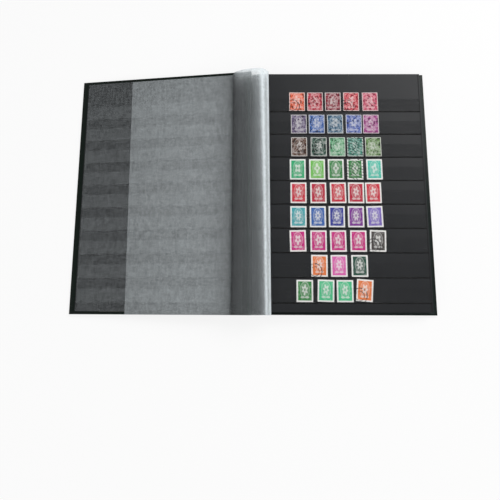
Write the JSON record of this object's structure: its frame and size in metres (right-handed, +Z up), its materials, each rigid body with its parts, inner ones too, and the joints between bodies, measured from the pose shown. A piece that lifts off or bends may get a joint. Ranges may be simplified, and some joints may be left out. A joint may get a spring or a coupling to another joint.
{
  "type": "stamp album",
  "caption": "Stamp album lying open: leather-look case, black card leaves with clear strip pockets, glassine interleaves and rows of stamps that slide in the pockets.",
  "frame": {"origin": "middle of the open album's box, on the table it lies on", "axes": "+X across the open album towards the right page's fore edge, +Y to the head of the pages, +Z up from the table"},
  "size_m": [0.4434, 0.305, 0.0327],
  "materials": {
    "grey_board": "bare grey board",
    "cover_leather": "dark green imitation leather with a fine grain",
    "black_card": "matte black card",
    "clear_film": "clear glossy film",
    "glassine": "translucent glassine",
    "linen": "black woven linen",
    "stamps_row_1_paper": "printed stamp paper with white perforated margins",
    "stamps_row_2_paper": "printed stamp paper with white perforated margins",
    "stamps_row_3_paper": "printed stamp paper with white perforated margins",
    "stamps_row_4_paper": "printed stamp paper with white perforated margins",
    "stamps_row_5_paper": "printed stamp paper with white perforated margins",
    "stamps_row_6_paper": "printed stamp paper with white perforated margins",
    "stamps_row_7_paper": "printed stamp paper with white perforated margins",
    "stamps_row_8_paper": "printed stamp paper with white perforated margins",
    "stamps_row_9_paper": "printed stamp paper with white perforated margins"
  },
  "bodies": {
    "case_back": {"back_board": "grey_board", "back_cover_leather": "cover_leather", "back_page_card": "black_card", "back_page_pockets": "clear_film", "back_interleaves": "glassine", "spine_board": "grey_board", "spine_leather": "cover_leather", "spine_lining": "linen"},
    "front_cover": {"front_board": "grey_board", "front_cover_leather": "cover_leather", "front_page_card": "black_card", "front_page_pockets": "clear_film"},
    "upper_interleaf": {"upper_interleaf": "glassine"},
    "lower_interleaf": {"lower_interleaf": "glassine"},
    "leaf_1": {"leaf_1_card": "black_card", "leaf_1_pockets": "clear_film", "leaf_1_linen_hinge": "linen"},
    "leaf_2": {"leaf_2_card": "black_card", "leaf_2_pockets": "clear_film", "leaf_2_linen_hinge": "linen", "leaf_2_interleaves": "glassine"},
    "leaf_3": {"leaf_3_card": "black_card", "leaf_3_pockets": "clear_film", "leaf_3_linen_hinge": "linen", "leaf_3_interleaves": "glassine"},
    "leaf_4": {"leaf_4_card": "black_card", "leaf_4_pockets": "clear_film", "leaf_4_linen_hinge": "linen", "leaf_4_interleaves": "glassine"},
    "leaf_5": {"leaf_5_card": "black_card", "leaf_5_pockets": "clear_film", "leaf_5_linen_hinge": "linen", "leaf_5_interleaves": "glassine"},
    "leaf_6": {"leaf_6_card": "black_card", "leaf_6_pockets": "clear_film", "leaf_6_linen_hinge": "linen", "leaf_6_interleaves": "glassine"},
    "leaf_7": {"leaf_7_card": "black_card", "leaf_7_pockets": "clear_film", "leaf_7_linen_hinge": "linen", "leaf_7_interleaves": "glassine"},
    "stamps_row_1": {"stamps_row_1": "stamps_row_1_paper"},
    "stamps_row_2": {"stamps_row_2": "stamps_row_2_paper"},
    "stamps_row_3": {"stamps_row_3": "stamps_row_3_paper"},
    "stamps_row_4": {"stamps_row_4": "stamps_row_4_paper"},
    "stamps_row_5": {"stamps_row_5": "stamps_row_5_paper"},
    "stamps_row_6": {"stamps_row_6": "stamps_row_6_paper"},
    "stamps_row_7": {"stamps_row_7": "stamps_row_7_paper"},
    "stamps_row_8": {"stamps_row_8": "stamps_row_8_paper"},
    "stamps_row_9": {"stamps_row_9": "stamps_row_9_paper"}
  },
  "joints": [
    {"name": "front_cover_hinge", "type": "hinge", "parent": "case_back", "child": "front_cover", "pos_m": [-0.00033, 0, 0.02013], "axis": [0, 1, 0], "range_deg": [0, 186.65]},
    {"name": "upper_interleaf_turn", "type": "hinge", "parent": "case_back", "child": "upper_interleaf", "pos_m": [-0.00033, 0, 0.02013], "axis": [0, 1, 0], "range_deg": [0, 186.65], "deforming": ["upper_interleaf"]},
    {"name": "lower_interleaf_turn", "type": "hinge", "parent": "case_back", "child": "lower_interleaf", "pos_m": [-0.00033, 0, 0.02013], "axis": [0, 1, 0], "range_deg": [0, 186.65], "deforming": ["lower_interleaf"]},
    {"name": "leaf_1_turn", "type": "hinge", "parent": "case_back", "child": "leaf_1", "pos_m": [-0.00033, 0, 0.02013], "axis": [0, 1, 0], "range_deg": [-186, 0]},
    {"name": "leaf_2_turn", "type": "hinge", "parent": "case_back", "child": "leaf_2", "pos_m": [-0.00033, 0, 0.02013], "axis": [0, 1, 0], "range_deg": [-186, 0]},
    {"name": "leaf_3_turn", "type": "hinge", "parent": "case_back", "child": "leaf_3", "pos_m": [-0.00033, 0, 0.02013], "axis": [0, 1, 0], "range_deg": [-186, 0]},
    {"name": "leaf_4_turn", "type": "hinge", "parent": "case_back", "child": "leaf_4", "pos_m": [-0.00033, 0, 0.02013], "axis": [0, 1, 0], "range_deg": [-186, 0]},
    {"name": "leaf_5_turn", "type": "hinge", "parent": "case_back", "child": "leaf_5", "pos_m": [-0.00033, 0, 0.02013], "axis": [0, 1, 0], "range_deg": [-186, 0]},
    {"name": "leaf_6_turn", "type": "hinge", "parent": "case_back", "child": "leaf_6", "pos_m": [-0.00033, 0, 0.02013], "axis": [0, 1, 0], "range_deg": [-186, 0]},
    {"name": "leaf_7_turn", "type": "hinge", "parent": "case_back", "child": "leaf_7", "pos_m": [-0.00033, 0, 0.02013], "axis": [0, 1, 0], "range_deg": [-186, 0]},
    {"name": "stamps_row_1_slide", "type": "slide", "parent": "leaf_1", "child": "stamps_row_1", "axis": [0.9992, 0, -0.0412], "range_m": [-0.036, 0.051]},
    {"name": "stamps_row_2_slide", "type": "slide", "parent": "leaf_1", "child": "stamps_row_2", "axis": [0.9992, 0, -0.0412], "range_m": [-0.038, 0.051]},
    {"name": "stamps_row_3_slide", "type": "slide", "parent": "leaf_1", "child": "stamps_row_3", "axis": [0.9992, 0, -0.0412], "range_m": [-0.038, 0.049]},
    {"name": "stamps_row_4_slide", "type": "slide", "parent": "leaf_1", "child": "stamps_row_4", "axis": [0.9992, 0, -0.0412], "range_m": [-0.036, 0.049]},
    {"name": "stamps_row_5_slide", "type": "slide", "parent": "leaf_1", "child": "stamps_row_5", "axis": [0.9992, 0, -0.0412], "range_m": [-0.036, 0.051]},
    {"name": "stamps_row_6_slide", "type": "slide", "parent": "leaf_1", "child": "stamps_row_6", "axis": [0.9992, 0, -0.0412], "range_m": [-0.036, 0.051]},
    {"name": "stamps_row_7_slide", "type": "slide", "parent": "leaf_1", "child": "stamps_row_7", "axis": [0.9992, 0, -0.0412], "range_m": [-0.035, 0.048]},
    {"name": "stamps_row_8_slide", "type": "slide", "parent": "leaf_1", "child": "stamps_row_8", "axis": [0.9992, 0, -0.0412], "range_m": [-0.06, 0.071]},
    {"name": "stamps_row_9_slide", "type": "slide", "parent": "leaf_1", "child": "stamps_row_9", "axis": [0.9992, 0, -0.0412], "range_m": [-0.042, 0.066]}
  ],
  "couplings": [
    {"joint": "upper_interleaf_turn", "follows": "front_cover_hinge", "ratio": 1},
    {"joint": "lower_interleaf_turn", "follows": "front_cover_hinge", "ratio": 1},
    {"joint": "leaf_2_turn", "follows": "leaf_1_turn", "ratio": 0.12},
    {"joint": "leaf_3_turn", "follows": "leaf_1_turn", "ratio": 0.1},
    {"joint": "leaf_4_turn", "follows": "leaf_1_turn", "ratio": 0.08},
    {"joint": "leaf_5_turn", "follows": "leaf_1_turn", "ratio": 0.06},
    {"joint": "leaf_6_turn", "follows": "leaf_1_turn", "ratio": 0.04},
    {"joint": "leaf_7_turn", "follows": "leaf_1_turn", "ratio": 0.02}
  ]
}
